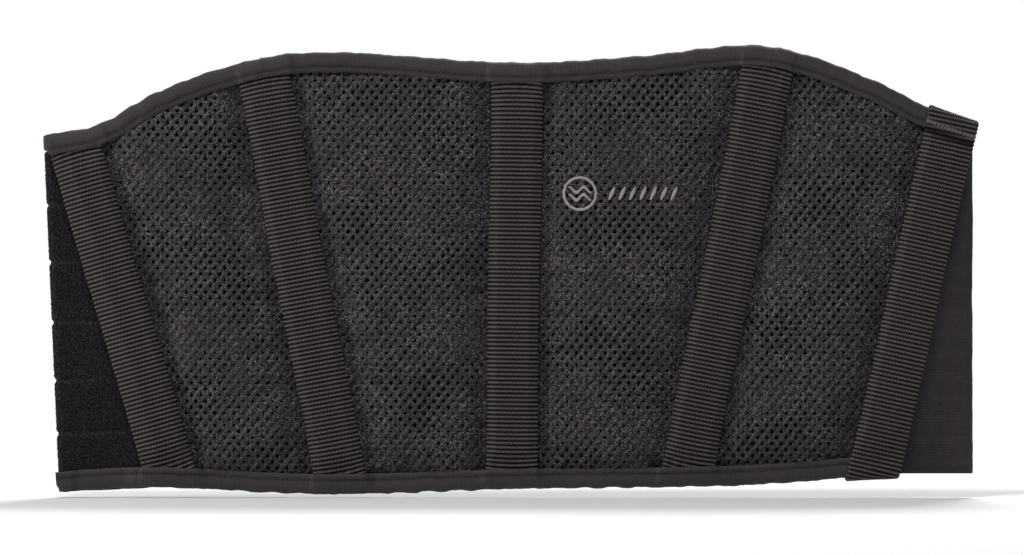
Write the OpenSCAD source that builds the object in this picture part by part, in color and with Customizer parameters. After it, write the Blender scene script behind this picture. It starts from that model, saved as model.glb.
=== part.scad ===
// Padded back brace (kidney belt): five stayed webbing channels on a spacer mesh panel,
// bound edges, and two closing wings folded flat behind the panel.
// Frame: +X to the wearer's right, +Y to the wearer's front, +Z up. The origin is the middle
// of the lining face that lies on the small of the back. The outer face looks to -Y.

/* [Layers] */
// Thickness of the lining that touches the wearer
lining_t = 1.0; // [0.6:0.1:1.5]
// Thickness of the foam core
foam_t = 3.0; // [2:0.5:4]
// Thickness of the outer spacer mesh
mesh_t = 2.0; // [1.5:0.5:3]
// Thickness of the binding tape
binding_t = 0.8; // [0.5:0.1:1]
// Width of the binding tape on each face
binding_w = 11; // [9:1:13]

/* [Webbing and stays] */
// Width of the webbing strips
webbing_w = 30; // [28:1:32]
// Thickness of the webbing
webbing_t = 1.6; // [1.2:0.1:2]
// Width of the stays
stay_w = 18; // [12:1:18]
// Thickness of the stays
stay_t = 1.4; // [1:0.1:1.6]

/* [Wings] */
// Thickness of a wing's fabric
wing_t = 2.2; // [1.6:0.1:2.4]
// Height of the woven elastic on the right
elastic_h = 200; // [180:5:200]
// Length of the sewn half of the left wing
left_root_l = 84; // [70:1:88]
// Length of the free half of the left wing
left_end_l = 92; // [70:1:96]
// Length of the sewn half of the right wing
right_root_l = 90; // [70:1:92]
// Length of the free half of the right wing
right_end_l = 90; // [70:1:96]

/* [Hidden] */

$fn = 48;
gap = 0.2;               // clearance between neighbouring pieces
bend_gap = 0.6;          // opening between the segments at each bend line
edge_step = 6;           // spacing of the points along the curved edges
far = 1000;              // reach of a cutting block

// Edge curves of the panel as [x, z]; a smooth curve runs through them.
top_edge = [
    [-280, 83], [-242, 90], [-205, 110], [-150, 128], [-105, 132], [0, 126],
    [75, 130], [130, 136], [160, 133], [205, 117], [240, 100], [280, 86]
];
bottom_edge = [[-280, -124], [-215, -120], [-110, -124], [0, -121], [130, -119], [205, -114], [280, -112]];

// Lines where the fabric bends, from the wearer's left to right.
bend_x = [-175, -51, 51, 175];

// Each webbing strip's centre line, as its x at the top and at the bottom level.
strip_top_z = 100;
strip_bottom_z = -110;
strip_x = [[-261, -200], [-142, -102], [1, -2], [142, 100], [255, 208]];

// Layer faces, as distances in front of the lining face.
foam_y = -lining_t;
mesh_y = foam_y - foam_t;
face_y = mesh_y - mesh_t;

// Fold lines of the two wings.
left_fold = [-264.5, -15];       // x and z of a point on the line
left_fold_lean = -2.5;           // lean of the line from the vertical, in degrees
right_fold = [261, -12];
base_mid_y = -3.2;               // middle of the fabric layer sewn under the outer strips
wing_mid_y = 3.6;                // middle of the wing folded behind the panel
fold_y = (base_mid_y + wing_mid_y) / 2;
fold_r = (wing_mid_y - base_mid_y + wing_t) / 2;
panel_to_fold = 5;               // where the padded layers end, measured from a fold line
wing_bend_gap = 0.4;             // opening between the two halves of a wing

// Loop pile rows, as heights along the left fold line; the rows meet at stitched grooves.
row_edges = [-99, -74, -43, -9.5, 25.5, 58.5, 90];
last_row = row_edges[len(row_edges) - 1];
groove_w = 1.2;
pile_t = 1.0;
tape_w = binding_w - 2;          // width of the tape along a wing's edges

// Slope of a curve at its point i.
function slope_at(curve, i) =
    let (a = max(i - 1, 0), b = min(i + 1, len(curve) - 1))
    (curve[b][1] - curve[a][1]) / (curve[b][0] - curve[a][0]);

// Height of a curve at x, by a cubic between the two nearest points.
function height_at(curve, x) =
    let (
        i = max([for (k = [0 : len(curve) - 2]) if (curve[k][0] <= x) k]),
        w = curve[i + 1][0] - curve[i][0],
        t = (x - curve[i][0]) / w
    )
    (2 * t * t * t - 3 * t * t + 1) * curve[i][1]
    + (t * t * t - 2 * t * t + t) * w * slope_at(curve, i)
    + (3 * t * t - 2 * t * t * t) * curve[i + 1][1]
    + (t * t * t - t * t) * w * slope_at(curve, i + 1);

// The x values at which an edge is sampled.
function samples(x0, x1) =
    let (n = ceil((x1 - x0) / edge_step)) [for (k = [0 : n]) x0 + (x1 - x0) * k / n];

function strip_lean(i) =
    atan2(strip_x[i][0] - strip_x[i][1], strip_top_z - strip_bottom_z);

// First and last x of segment i, from 0 on the left side to 4 on the right side.
function seg_x0(i) = i == 0 ? -279 : bend_x[i - 1] + bend_gap / 2;
function seg_x1(i) = i == 4 ? 279 : bend_x[i] - bend_gap / 2;

// Draws a 2D shape, given as x and z, as a plate from y0 to y1.
module plate(y0, y1) {
    translate([0, y1, 0]) rotate([90, 0, 0]) linear_extrude(y1 - y0) children();
}

// The panel's outline between two x values, drawn in by an inset at the top and bottom.
module outline(x0, x1, inset_top, inset_bottom) {
    xs = samples(x0, x1);
    polygon(concat(
        [for (x = xs) [x, height_at(bottom_edge, x) + inset_bottom]],
        [for (k = [len(xs) - 1 : -1 : 0]) [xs[k], height_at(top_edge, xs[k]) - inset_top]]
    ));
}

// Half plane on one side of strip i's edge: side -1 is left of it, side 1 is right of it.
module beside_strip(i, side, from) {
    translate([strip_x[i][1], strip_bottom_z]) rotate(-strip_lean(i))
        translate([side > 0 ? from : from - far, -far]) square([far, 2 * far]);
}

// Outline of segment i. The side segments end at the outer edge of the outer strips.
module segment_outline(i, inset) {
    difference() {
        outline(seg_x0(i), seg_x1(i), inset, inset);
        if (i == 0) beside_strip(0, -1, -webbing_w / 2);
        if (i == 4) beside_strip(4, 1, webbing_w / 2);
    }
}

// Places its children at the left fold line: local Z runs up the line, local X into the panel.
module on_left_fold() {
    translate([left_fold[0], 0, left_fold[1]]) rotate([0, left_fold_lean, 0]) children();
}

// Places its children at the right fold line, with local X into the panel.
module on_right_fold() {
    translate([right_fold[0], 0, right_fold[1]]) mirror([1, 0, 0]) children();
}

// Room that the rolled edge of a wing needs beside the padded layers.
module roll_room(z0, z1) {
    translate([-far, -fold_r + fold_y - gap, z0 - gap])
        cube([far + panel_to_fold, far, z1 - z0 + 2 * gap]);
}

// Clearance round a fold line, for the fabric that ends at the rolled edge.
module round_room() {
    translate([0, fold_y, -far / 2]) cylinder(r = fold_r + gap, h = far, $fn = 96);
    translate([-far, -far / 2, -far / 2]) cube([far, far, far]);
}

// Children of segment i without the room of the wings.
module clear_of_wings(i) {
    difference() {
        children();
        if (i == 0) on_left_fold() roll_room(row_edges[0] - tape_w, last_row + tape_w);
        if (i == 4) on_right_fold() roll_room(-elastic_h / 2, elastic_h / 2);
    }
}

module mesh(i) {
    color([0.19, 0.17, 0.18]) clear_of_wings(i)
        plate(face_y, mesh_y) segment_outline(i, binding_t + gap);
}

module foam(i) {
    color([0.30, 0.30, 0.31]) clear_of_wings(i)
        plate(mesh_y, foam_y) segment_outline(i, binding_w * 0.8);
}

module lining(i) {
    color([0.12, 0.12, 0.13]) clear_of_wings(i)
        plate(foam_y, 0) segment_outline(i, binding_w + gap);
}

// Places its children in the frame of strip i: local Z runs up the strip from the bottom level.
module on_strip(i) {
    translate([strip_x[i][1], 0, strip_bottom_z]) rotate([0, strip_lean(i), 0]) children();
}

// Section of a webbing strip that arches over its stay, as across and outward.
module webbing_section() {
    rise = stay_t + 2 * gap;
    flat = webbing_w / 2 - 3;
    crown = stay_w / 2 + 0.6;
    polygon([
        [-webbing_w / 2, 0], [-flat, 0], [-crown, rise], [crown, rise], [flat, 0],
        [webbing_w / 2, 0], [webbing_w / 2, webbing_t], [flat + 0.5, webbing_t],
        [crown + 0.5, rise + webbing_t], [-crown - 0.5, rise + webbing_t],
        [-flat - 0.5, webbing_t], [-webbing_w / 2, webbing_t]
    ]);
}

// The full run of a webbing strip, longer than the panel is high.
module webbing_run(i) {
    on_strip(i) translate([0, face_y, -60]) linear_extrude(360) rotate(180) webbing_section();
}

module webbing(i) {
    color([0.17, 0.16, 0.16]) intersection() {
        webbing_run(i);
        plate(-far, far) outline(-279, 279, binding_w + gap, binding_w + gap);
    }
}

// Outline of the outer right strip from the panel's edge to a depth inside it.
module turned_outline(depth) {
    difference() {
        outline(seg_x0(4), 279.9, -webbing_t, -webbing_t);
        outline(seg_x0(4), 279.9, depth, depth);
    }
}

// The outer right strip runs over the panel's edges and is turned under behind it.
module webbing_wrapped() {
    turn = webbing_t + gap;
    color([0.17, 0.16, 0.16]) {
        intersection() {
            webbing_run(4);
            plate(-far, far) outline(-279, 279.9, -webbing_t, -webbing_t);
        }
        clear_of_wings(4) {
            intersection() {
                on_strip(4) translate([-webbing_w / 2, face_y - webbing_t, -60])
                    cube([webbing_w, webbing_t - face_y + turn, 360]);
                plate(face_y - webbing_t, turn) turned_outline(-gap);
            }
            intersection() {
                on_strip(4) translate([-webbing_w / 2, gap, -60])
                    cube([webbing_w, webbing_t, 360]);
                plate(gap, turn) turned_outline(binding_w);
            }
        }
    }
}

// A flat stay with round ends, lying on the mesh inside its webbing channel.
module stay(i) {
    end_gap = binding_w + 6;
    low = height_at(bottom_edge, strip_x[i][1]) + end_gap - strip_bottom_z;
    high = height_at(top_edge, strip_x[i][0]) - end_gap - strip_bottom_z;
    color([0.75, 0.75, 0.72]) on_strip(i) translate([0, face_y - gap, 0]) rotate([90, 0, 0]) {
        translate([-stay_w / 2, low + stay_w / 2, 0]) cube([stay_w, high - low - stay_w, stay_t]);
        for (z = [low + stay_w / 2, high - stay_w / 2])
            translate([0, z, 0]) cylinder(d = stay_w, h = stay_t);
    }
}

// Binding folded round one edge of segment i: side 1 is the top edge, side -1 the bottom edge.
module binding(i, side) {
    color([0.22, 0.20, 0.21]) difference() {
        clear_of_wings(i) plate(face_y - binding_t - gap, 0) intersection() {
            segment_outline(i, 0);
            edge_band(side, 0);
        }
        plate(face_y - gap, foam_y) edge_core(binding_t);
        if (i == 4) plate(-far, 2) beside_strip(4, 1, -webbing_w / 2 - gap);
    }
}

// Part of the panel's outline within the binding's width of one edge.
module edge_band(side, inset) {
    intersection() {
        difference() {
            outline(-279.5, 279.5, inset, inset);
            outline(-279.9, 279.9, binding_w, binding_w);
        }
        translate([-far, side > 0 ? 0 : -far]) square([2 * far, far]);
    }
}

// The panel's outline inside the folded binding.
module edge_core(inset) {
    outline(-279.9, 279.9, inset, inset);
}

// One plate for each pile row between two local x values, with stitched grooves between.
module pile_rows(x0, x1, y0, y1) {
    for (k = [0 : len(row_edges) - 2])
        translate([x0, y0, row_edges[k] + groove_w / 2])
            cube([x1 - x0, y1 - y0, row_edges[k + 1] - row_edges[k] - groove_w]);
}

// Sheet of loop fabric with its pile on one side: -1 towards -Y, 1 towards +Y.
module loop_sheet(x0, x1, mid_y, side) {
    back_y = mid_y - wing_t / 2 + (side < 0 ? pile_t : 0);
    pile_y = side < 0 ? back_y - pile_t : back_y + wing_t - pile_t;
    translate([x0, back_y, row_edges[0]])
        cube([x1 - x0, wing_t - pile_t, last_row - row_edges[0]]);
    pile_rows(x0, x1, pile_y, pile_y + pile_t);
}

// Triangle of loop fabric that shows between the left strip and the fold.
module loop_base() {
    color([0.10, 0.09, 0.10]) difference() {
        on_left_fold() loop_sheet(gap, 90, base_mid_y, -1);
        on_left_fold() round_room();
        plate(-far, far) beside_strip(0, 1, -webbing_w / 2 - gap);
        plate(-far, far) difference() {
            square(4 * far, center = true);
            edge_core(binding_w + gap);
        }
    }
}

// The sewn half of the left wing, rolled round the fold line.
module loop_wing() {
    color([0.10, 0.09, 0.10]) on_left_fold() {
        loop_sheet(0, left_root_l - wing_bend_gap / 2, wing_mid_y, 1);
        translate([0, fold_y, row_edges[0]])
            cylinder(r = fold_r - pile_t, h = last_row - row_edges[0], $fn = 96);
        for (k = [0 : len(row_edges) - 2])
            translate([0, fold_y, row_edges[k] + groove_w / 2])
                cylinder(r = fold_r, h = row_edges[k + 1] - row_edges[k] - groove_w, $fn = 96);
    }
}

module loop_wing_end() {
    color([0.10, 0.09, 0.10]) on_left_fold() loop_sheet(
        left_root_l + wing_bend_gap / 2, left_root_l + left_end_l - binding_w - gap, wing_mid_y, 1
    );
}

// Lowest z of each tape that edges the left wing, in the fold line's frame.
tape_z = [row_edges[0] - tape_w, last_row + gap];

// Short tape under the loop triangle, from the rolled edge to the padded panel.
module base_tape() {
    color([0.22, 0.20, 0.21]) difference() {
        plate(base_mid_y - wing_t / 2 - binding_t, base_mid_y + wing_t / 2 + binding_t)
            difference() {
                edge_band(-1, 0);
                beside_strip(0, 1, -webbing_w / 2 - gap);
            }
        on_left_fold() round_room();
    }
}

module wing_binding() {
    color([0.22, 0.20, 0.21]) on_left_fold() for (z = tape_z) {
        translate([0, wing_mid_y - wing_t / 2, z])
            cube([left_root_l - wing_bend_gap / 2, wing_t, tape_w - gap]);
        translate([0, fold_y, z]) cylinder(r = fold_r, h = tape_w - gap, $fn = 96);
    }
}

module wing_end_binding() {
    x0 = left_root_l + wing_bend_gap / 2;
    x1 = left_root_l + left_end_l;
    low_y = wing_mid_y - wing_t / 2;
    color([0.22, 0.20, 0.21]) on_left_fold() {
        for (z = tape_z)
            translate([x0, low_y, z]) cube([x1 - x0, wing_t, tape_w - gap]);
        translate([x1 - binding_w, low_y, tape_z[0]])
            cube([binding_w, wing_t, tape_z[1] - tape_z[0] + tape_w - gap]);
    }
}

module elastic_sheet(x0, x1, mid_y) {
    translate([x0, mid_y - wing_t / 2, -elastic_h / 2]) cube([x1 - x0, wing_t, elastic_h]);
}

// Triangle of elastic that shows between the right strip and the fold.
module elastic_base() {
    color([0.18, 0.16, 0.18]) difference() {
        on_right_fold() elastic_sheet(gap, 80, base_mid_y);
        on_right_fold() round_room();
        plate(-far, far) beside_strip(4, -1, webbing_w / 2 + gap);
    }
}

module elastic_wing() {
    color([0.18, 0.16, 0.18]) on_right_fold() {
        elastic_sheet(0, right_root_l - wing_bend_gap / 2, wing_mid_y);
        translate([0, fold_y, -elastic_h / 2]) cylinder(r = fold_r, h = elastic_h, $fn = 96);
    }
}

hem_w = 9;               // width of the folded end of the elastic
hem_t = 0.8;             // how far the hem stands above the elastic
hook_t = 1.4;
hook_l = 55;

module elastic_wing_end() {
    color([0.18, 0.16, 0.18]) on_right_fold() elastic_sheet(
        right_root_l + wing_bend_gap / 2, right_root_l + right_end_l - hem_w - gap, wing_mid_y
    );
}

// Folded and stitched end of the elastic.
module elastic_end_hem() {
    color([0.15, 0.14, 0.15]) on_right_fold()
        translate([right_root_l + right_end_l - hem_w, wing_mid_y - wing_t / 2, -elastic_h / 2])
            cube([hem_w, wing_t + hem_t, elastic_h]);
}

// Hook fastener on the wearer's side of the elastic's free end.
module hook_patch() {
    color([0.08, 0.08, 0.08]) on_right_fold()
        translate([
            right_root_l + right_end_l - hem_w - 2 - hook_l,
            wing_mid_y - wing_t / 2 - hook_t,
            -elastic_h / 2 + 10
        ])
            cube([hook_l, hook_t, elastic_h - 20]);
}

// Embroidered mark without letters: a ring with a wave in it, then a row of slanted dashes.
mark_z = 50;
thread_t = 0.6;

module emblem_ring() {
    color([0.68, 0.64, 0.68]) translate([37.5, face_y, mark_z]) rotate([90, 0, 0]) {
        difference() {
            cylinder(r = 10, h = thread_t);
            translate([0, 0, -1]) cylinder(r = 8.6, h = thread_t + 2);
        }
        for (k = [-1 : 1])
            translate([4.6 * k, 0, 0]) cylinder(r = 1.6, h = thread_t);
    }
}

module emblem_dashes() {
    color([0.68, 0.64, 0.68]) for (k = [0 : 6])
        translate([56 + 6 * k, face_y, mark_z]) rotate([90, 0, 0]) linear_extrude(thread_t)
            polygon([[-2, -3.5], [-0.2, -3.5], [2, 3.5], [0.2, 3.5]]);
}

mesh(0);  // mesh_left_side
mesh(1);  // mesh_left_back
mesh(2);  // mesh_centre
mesh(3);  // mesh_right_back
mesh(4);  // mesh_right_side
foam(0);  // foam_left_side
foam(1);  // foam_left_back
foam(2);  // foam_centre
foam(3);  // foam_right_back
foam(4);  // foam_right_side
lining(0);  // lining_left_side
lining(1);  // lining_left_back
lining(2);  // lining_centre
lining(3);  // lining_right_back
lining(4);  // lining_right_side
webbing(0);  // webbing_left_side
webbing(1);  // webbing_left_back
webbing(2);  // webbing_centre
webbing(3);  // webbing_right_back
webbing_wrapped();  // webbing_right_side
stay(0);  // stay_left_side
stay(1);  // stay_left_back
stay(2);  // stay_centre
stay(3);  // stay_right_back
stay(4);  // stay_right_side
binding(0, 1);  // top_binding_left_side
binding(1, 1);  // top_binding_left_back
binding(2, 1);  // top_binding_centre
binding(3, 1);  // top_binding_right_back
binding(4, 1);  // top_binding_right_side
binding(0, -1);  // bottom_binding_left_side
binding(1, -1);  // bottom_binding_left_back
binding(2, -1);  // bottom_binding_centre
binding(3, -1);  // bottom_binding_right_back
binding(4, -1);  // bottom_binding_right_side
base_tape();
loop_base();
loop_wing();
loop_wing_end();
wing_binding();
wing_end_binding();
elastic_base();
elastic_wing();
elastic_wing_end();
hook_patch();
elastic_end_hem();
emblem_ring();
emblem_dashes();
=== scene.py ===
"""Back brace: a padded mesh panel with five webbing strips, bound edges and two wings folded behind it.

Lengths are in millimetres until a mesh is made, in the CAD's frame: +X to the wearer's right,
+Y to the wearer's front, +Z up, with the outer face towards -Y.
"""

import math

import bpy
import numpy as np
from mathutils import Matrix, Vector


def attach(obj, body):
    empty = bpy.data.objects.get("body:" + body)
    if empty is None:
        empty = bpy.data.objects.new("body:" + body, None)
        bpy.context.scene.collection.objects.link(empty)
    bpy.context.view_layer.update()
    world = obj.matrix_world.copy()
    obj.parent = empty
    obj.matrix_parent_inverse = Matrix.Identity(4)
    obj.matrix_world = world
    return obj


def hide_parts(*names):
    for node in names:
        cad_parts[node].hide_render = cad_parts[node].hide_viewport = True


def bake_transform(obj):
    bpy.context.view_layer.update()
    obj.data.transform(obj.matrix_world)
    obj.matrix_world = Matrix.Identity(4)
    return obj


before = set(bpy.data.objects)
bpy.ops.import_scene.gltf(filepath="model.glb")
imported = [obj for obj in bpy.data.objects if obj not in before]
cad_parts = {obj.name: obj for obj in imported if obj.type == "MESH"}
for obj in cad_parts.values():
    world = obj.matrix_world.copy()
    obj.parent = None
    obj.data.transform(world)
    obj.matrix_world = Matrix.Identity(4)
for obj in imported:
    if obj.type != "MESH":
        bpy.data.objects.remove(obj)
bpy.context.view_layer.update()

# ---------------- sizes shared with the CAD

TOP_EDGE = np.array([
    (-280, 83), (-242, 90), (-205, 110), (-150, 128), (-105, 132), (0, 126),
    (75, 130), (130, 136), (160, 133), (205, 117), (240, 100), (280, 86)], float)
BOTTOM_EDGE = np.array([
    (-280, -124), (-215, -120), (-110, -124), (0, -121), (130, -119), (205, -114), (280, -112)], float)
SEGMENTS = ("left_side", "left_back", "centre", "right_back", "right_side")
# Where the fabric curves at each bend: it starts and ends clear of the stiff strips.
BEND_ZONE = ((-184, -158), (-80, -22), (22, 80), (158, 192))
STRIP_TOP_Z, STRIP_BOTTOM_Z = 100.0, -110.0
STRIP_X = ((-261, -200), (-142, -102), (1, -2), (142, 100), (255, 208))
WEBBING_W, WEBBING_T = 30.0, 1.6
HALF_WEB = WEBBING_W / 2
BINDING_W = 11.5
FACE_Y = -6.0            # the flat panel's outer face
FOLD_Y = 0.2             # y of a fold's centre
WING_T = 2.2
WING_Y, TAB_Y = 3.6, -3.2
TURN_R = (WING_Y - TAB_Y) / 2
LEFT_FOLD = (-264.5, -15.0, math.radians(-2.5))
RIGHT_FOLD = (261.0, -12.0, 0.0)
LEFT_ROOT, RIGHT_ROOT = 84.0, 90.0       # from a wing's fold to its bend
LEFT_REACH, RIGHT_REACH = 176.0, 180.0   # and to its free end
ROW_EDGES = (-99, -74, -43, -9.5, 25.5, 58.5, 90)
ELASTIC_H = 200.0
WING_SEAM = 48.0         # where a wing's two pieces meet, between its fold and its bend
TAPE_RIB = 1.45          # pitch of the tapes' cross ribs

RNG = np.random.default_rng(7)


def edge_height(curve, x):
    """Height of the panel's top or bottom edge at x: the same smooth curve as in the CAD."""
    x = np.asarray(x, float)
    px, pz = curve[:, 0], curve[:, 1]
    lo = np.maximum(np.arange(len(px)) - 1, 0)
    hi = np.minimum(np.arange(len(px)) + 1, len(px) - 1)
    slope = (pz[hi] - pz[lo]) / (px[hi] - px[lo])
    i = np.clip(np.searchsorted(px, x, "right") - 1, 0, len(px) - 2)
    w = px[i + 1] - px[i]
    t = (x - px[i]) / w
    return ((2 * t**3 - 3 * t**2 + 1) * pz[i] + (t**3 - 2 * t**2 + t) * w * slope[i]
            + (3 * t**2 - 2 * t**3) * pz[i + 1] + (t**3 - t**2) * w * slope[i + 1])


def smooth(t):
    """0 to 1 as t goes from 0 to 1, level at both ends."""
    t = np.clip(t, 0.0, 1.0)
    return t * t * (3 - 2 * t)


def strip_line(k, z):
    """x of strip k's centre line at height z."""
    top, bottom = STRIP_X[k]
    rise = np.asarray(z, float) - STRIP_BOTTOM_Z
    return bottom + (top - bottom) * rise / (STRIP_TOP_Z - STRIP_BOTTOM_Z)


def strip_lean(k):
    """Strip k's lean to the right, in radians."""
    top, bottom = STRIP_X[k]
    return math.atan2(top - bottom, STRIP_TOP_Z - STRIP_BOTTOM_Z)


def across_strip(k, x, z):
    """Signed distance of a point from strip k's centre line, positive to the right."""
    return (np.asarray(x, float) - strip_line(k, z)) * math.cos(strip_lean(k))


# ---------------- smooth random fields

class Field:
    """A smooth random function of two lengths, between about -1 and 1."""

    def __init__(self, size, seed, octaves=3):
        rng = np.random.default_rng(seed)
        self.waves = []
        for o in range(octaves):
            for _ in range(7):
                a = rng.uniform(0, 2 * math.pi)
                k = 2 * math.pi / (size / 2**o) * rng.uniform(0.7, 1.3)
                self.waves.append((k * math.cos(a), k * math.sin(a), rng.uniform(0, 6.28), 0.5**o))
        self.norm = math.sqrt(sum(w[3] ** 2 for w in self.waves) / 2) * 2

    def __call__(self, a, b):
        a, b = np.asarray(a, float), np.asarray(b, float)
        total = sum(g * np.sin(ka * a + kb * b + p) for ka, kb, p, g in self.waves)
        return total / self.norm


WRINKLE = Field(46, 3)
FINE = Field(3.0, 5, octaves=2)
TUFT = Field(1.9, 11, octaves=2)
PUCKER = Field(13, 8, octaves=2)


# ---------------- meshes

def make_object(name, verts, faces, material, relief=None, second=None, second_faces=None, sharp=None):
    """A mesh object from points in millimetres. relief is a number from 0 to 1 for each point.
    Edges that turn by more than sharp degrees are shaded as corners."""
    mesh = bpy.data.meshes.new(name)
    verts = np.asarray(verts, float) / 1000.0
    mesh.from_pydata(verts.tolist(), [], [list(map(int, f)) for f in faces])
    mesh.materials.append(material)
    if second is not None:
        mesh.materials.append(second)
        for i in second_faces:
            mesh.polygons[i].material_index = 1
    if relief is not None:
        layer = mesh.attributes.new("relief", "FLOAT", "POINT")
        layer.data.foreach_set("value", np.asarray(relief, np.float32))
    mesh.polygons.foreach_set("use_smooth", np.ones(len(mesh.polygons), bool))
    mesh.validate()
    mesh.update()
    if sharp is not None:
        mesh.set_sharp_from_angle(angle=math.radians(sharp))
    obj = bpy.data.objects.new(name, mesh)
    bpy.context.scene.collection.objects.link(obj)
    return obj


def grid_faces(rows, cols, flip=False, offset=0, wrap=False):
    """Faces of a grid of points stored row by row. With wrap, the last column joins the first."""
    n = cols if wrap else cols - 1
    i, j = np.meshgrid(np.arange(rows - 1), np.arange(n), indexing="ij")
    i, j = i.ravel(), j.ravel()
    k = (j + 1) % cols
    f = np.stack([i * cols + j, i * cols + k, (i + 1) * cols + k, (i + 1) * cols + j], 1) + offset
    return f[:, ::-1] if flip else f


def closed_sheet(front, back, flip=False):
    """Vertices and faces of a closed solid between two grids of points of the same shape."""
    rows, cols = front.shape[:2]
    n = rows * cols
    verts = np.concatenate([front.reshape(-1, 3), back.reshape(-1, 3)])
    faces = [grid_faces(rows, cols, flip), grid_faces(rows, cols, not flip, n)]
    grid = np.arange(n).reshape(rows, cols)
    ids = np.concatenate([grid[0], grid[1:, -1], grid[-1, -2::-1], grid[-2:0:-1, 0]])
    nxt = np.roll(ids, -1)
    rim = np.stack([ids, ids + n, nxt + n, nxt], 1)
    faces.append(rim[:, ::-1] if flip else rim)
    return verts, np.concatenate(faces)


def tube_faces(rows, cols, flip=False, flip_caps=None):
    """Faces of a tube whose points are stored ring by ring, with a cap at each end."""
    flip_caps = flip if flip_caps is None else flip_caps
    caps = [list(range(cols)), list(range((rows - 1) * cols, rows * cols))]
    caps[1 if flip_caps else 0].reverse()
    return grid_faces(rows, cols, flip, wrap=True).tolist() + caps


def oval(cols, wide=0.5, deep=0.55):
    """Points round a flattened tube's ring: the angle, and the parts across and outwards."""
    for m in range(cols):
        a = 2 * math.pi * m / cols
        across, out = math.cos(a), math.sin(a)
        yield a, math.copysign(abs(across) ** wide, across), math.copysign(abs(out) ** deep, out)


def solidify(obj, thickness, offset):
    """Gives an open mesh a thickness in millimetres and applies it."""
    mod = obj.modifiers.new("thickness", "SOLIDIFY")
    mod.thickness = thickness / 1000.0
    mod.offset = offset
    graph = bpy.context.evaluated_depsgraph_get()
    mesh = bpy.data.meshes.new_from_object(obj.evaluated_get(graph))
    obj.modifiers.clear()
    old = obj.data
    obj.data = mesh
    bpy.data.meshes.remove(old)
    return obj


# ---------------- materials

def srgb(rgb):
    """A linear colour from sRGB values between 0 and 255."""
    def lin(v):
        v /= 255.0
        return v / 12.92 if v <= 0.04045 else ((v + 0.055) / 1.055) ** 2.4
    return (*map(lin, rgb), 1.0)


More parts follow.
